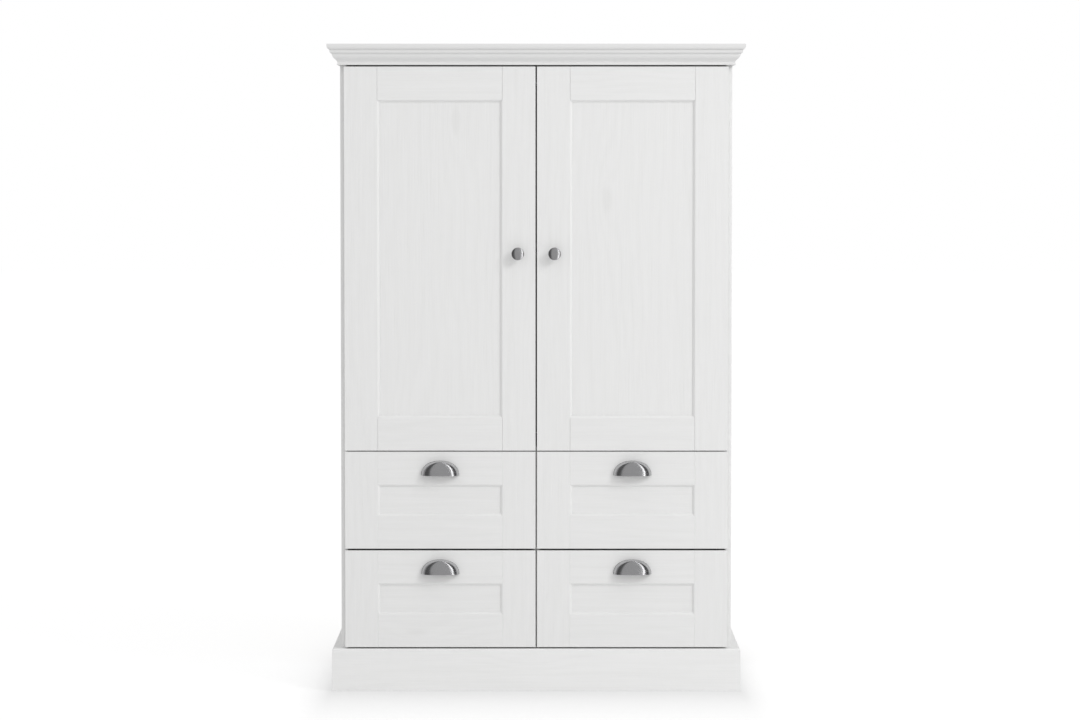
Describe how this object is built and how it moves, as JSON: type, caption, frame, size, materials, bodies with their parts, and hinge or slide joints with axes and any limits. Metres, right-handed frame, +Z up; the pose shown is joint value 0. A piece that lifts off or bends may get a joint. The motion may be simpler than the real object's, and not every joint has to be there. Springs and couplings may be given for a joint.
{
  "type": "wardrobe",
  "caption": "Tall free-standing wardrobe with frame-and-panel doors over drawers, stepped crown cornice, deep mitred plinth, round knobs and hooded cup pulls.",
  "frame": {"origin": "centre of the footprint of the overall size, on the floor", "axes": "+Z up, fronts face -Y, +X to the right seen from the front"},
  "size_m": [1.158, 0.553, 1.8],
  "materials": {
    "white_foil": "white foil with an embossed wood grain, satin",
    "inner_foil": "plain white melamine face, matt",
    "hardboard": "thin white-faced hardboard, matt",
    "satin_metal": "satin nickel-grey",
    "hinge_steel": "nickel-plated pressed steel",
    "runner_paint": "white powder-coated steel",
    "rail_chrome": "chromed tube"
  },
  "bodies": {
    "carcase": {"back_panel": "hardboard", "bottom_panel": "inner_foil", "centre_partition": "inner_foil", "cornice_front": "white_foil", "cornice_left": "white_foil", "cornice_right": "white_foil", "cornice_top_board": "white_foil", "hanging_rail": "rail_chrome", "hinge_arm_left_lower": "hinge_steel", "hinge_arm_left_upper": "hinge_steel", "hinge_arm_right_lower": "hinge_steel", "hinge_arm_right_upper": "hinge_steel", "middle_panel": "inner_foil", "plinth_front": "white_foil", "plinth_left": "white_foil", "plinth_right": "white_foil", "runner_lower_left_inner": "runner_paint", "runner_lower_left_outer": "runner_paint", "runner_lower_right_inner": "runner_paint", "runner_lower_right_outer": "runner_paint", "runner_upper_left_inner": "runner_paint", "runner_upper_left_outer": "runner_paint", "runner_upper_right_inner": "runner_paint", "runner_upper_right_outer": "runner_paint", "shelf": "inner_foil", "side_left": "white_foil", "side_right": "white_foil", "top_panel": "inner_foil"},
    "door_left": {"door_left_hinge_cup_lower": "hinge_steel", "door_left_hinge_cup_upper": "hinge_steel", "door_left_knob": "satin_metal", "door_left_panel": "white_foil", "door_left_rail_bottom": "white_foil", "door_left_rail_top": "white_foil", "door_left_stile_centre": "white_foil", "door_left_stile_hinge": "white_foil"},
    "door_right": {"door_right_hinge_cup_lower": "hinge_steel", "door_right_hinge_cup_upper": "hinge_steel", "door_right_knob": "satin_metal", "door_right_panel": "white_foil", "door_right_rail_bottom": "white_foil", "door_right_rail_top": "white_foil", "door_right_stile_centre": "white_foil", "door_right_stile_hinge": "white_foil"},
    "drawer_lower_left": {"drawer_lower_left_bottom": "hardboard", "drawer_lower_left_box": "inner_foil", "drawer_lower_left_front": "white_foil", "drawer_lower_left_pull": "satin_metal"},
    "drawer_lower_right": {"drawer_lower_right_bottom": "hardboard", "drawer_lower_right_box": "inner_foil", "drawer_lower_right_front": "white_foil", "drawer_lower_right_pull": "satin_metal"},
    "drawer_upper_left": {"drawer_upper_left_bottom": "hardboard", "drawer_upper_left_box": "inner_foil", "drawer_upper_left_front": "white_foil", "drawer_upper_left_pull": "satin_metal"},
    "drawer_upper_right": {"drawer_upper_right_bottom": "hardboard", "drawer_upper_right_box": "inner_foil", "drawer_upper_right_front": "white_foil", "drawer_upper_right_pull": "satin_metal"}
  },
  "joints": [
    {"name": "door_left_hinge", "type": "hinge", "parent": "carcase", "child": "door_left", "pos_m": [-0.526, -0.235, 1.205], "axis": [0, 0, -1], "range_deg": [0, 100]},
    {"name": "door_right_hinge", "type": "hinge", "parent": "carcase", "child": "door_right", "pos_m": [0.526, -0.235, 1.205], "axis": [0, 0, 1], "range_deg": [0, 100]},
    {"name": "drawer_lower_left_slide", "type": "slide", "parent": "carcase", "child": "drawer_lower_left", "axis": [0, -1, 0], "range_m": [0, 0.36]},
    {"name": "drawer_lower_right_slide", "type": "slide", "parent": "carcase", "child": "drawer_lower_right", "axis": [0, -1, 0], "range_m": [0, 0.36]},
    {"name": "drawer_upper_left_slide", "type": "slide", "parent": "carcase", "child": "drawer_upper_left", "axis": [0, -1, 0], "range_m": [0, 0.36]},
    {"name": "drawer_upper_right_slide", "type": "slide", "parent": "carcase", "child": "drawer_upper_right", "axis": [0, -1, 0], "range_m": [0, 0.36]}
  ]
}
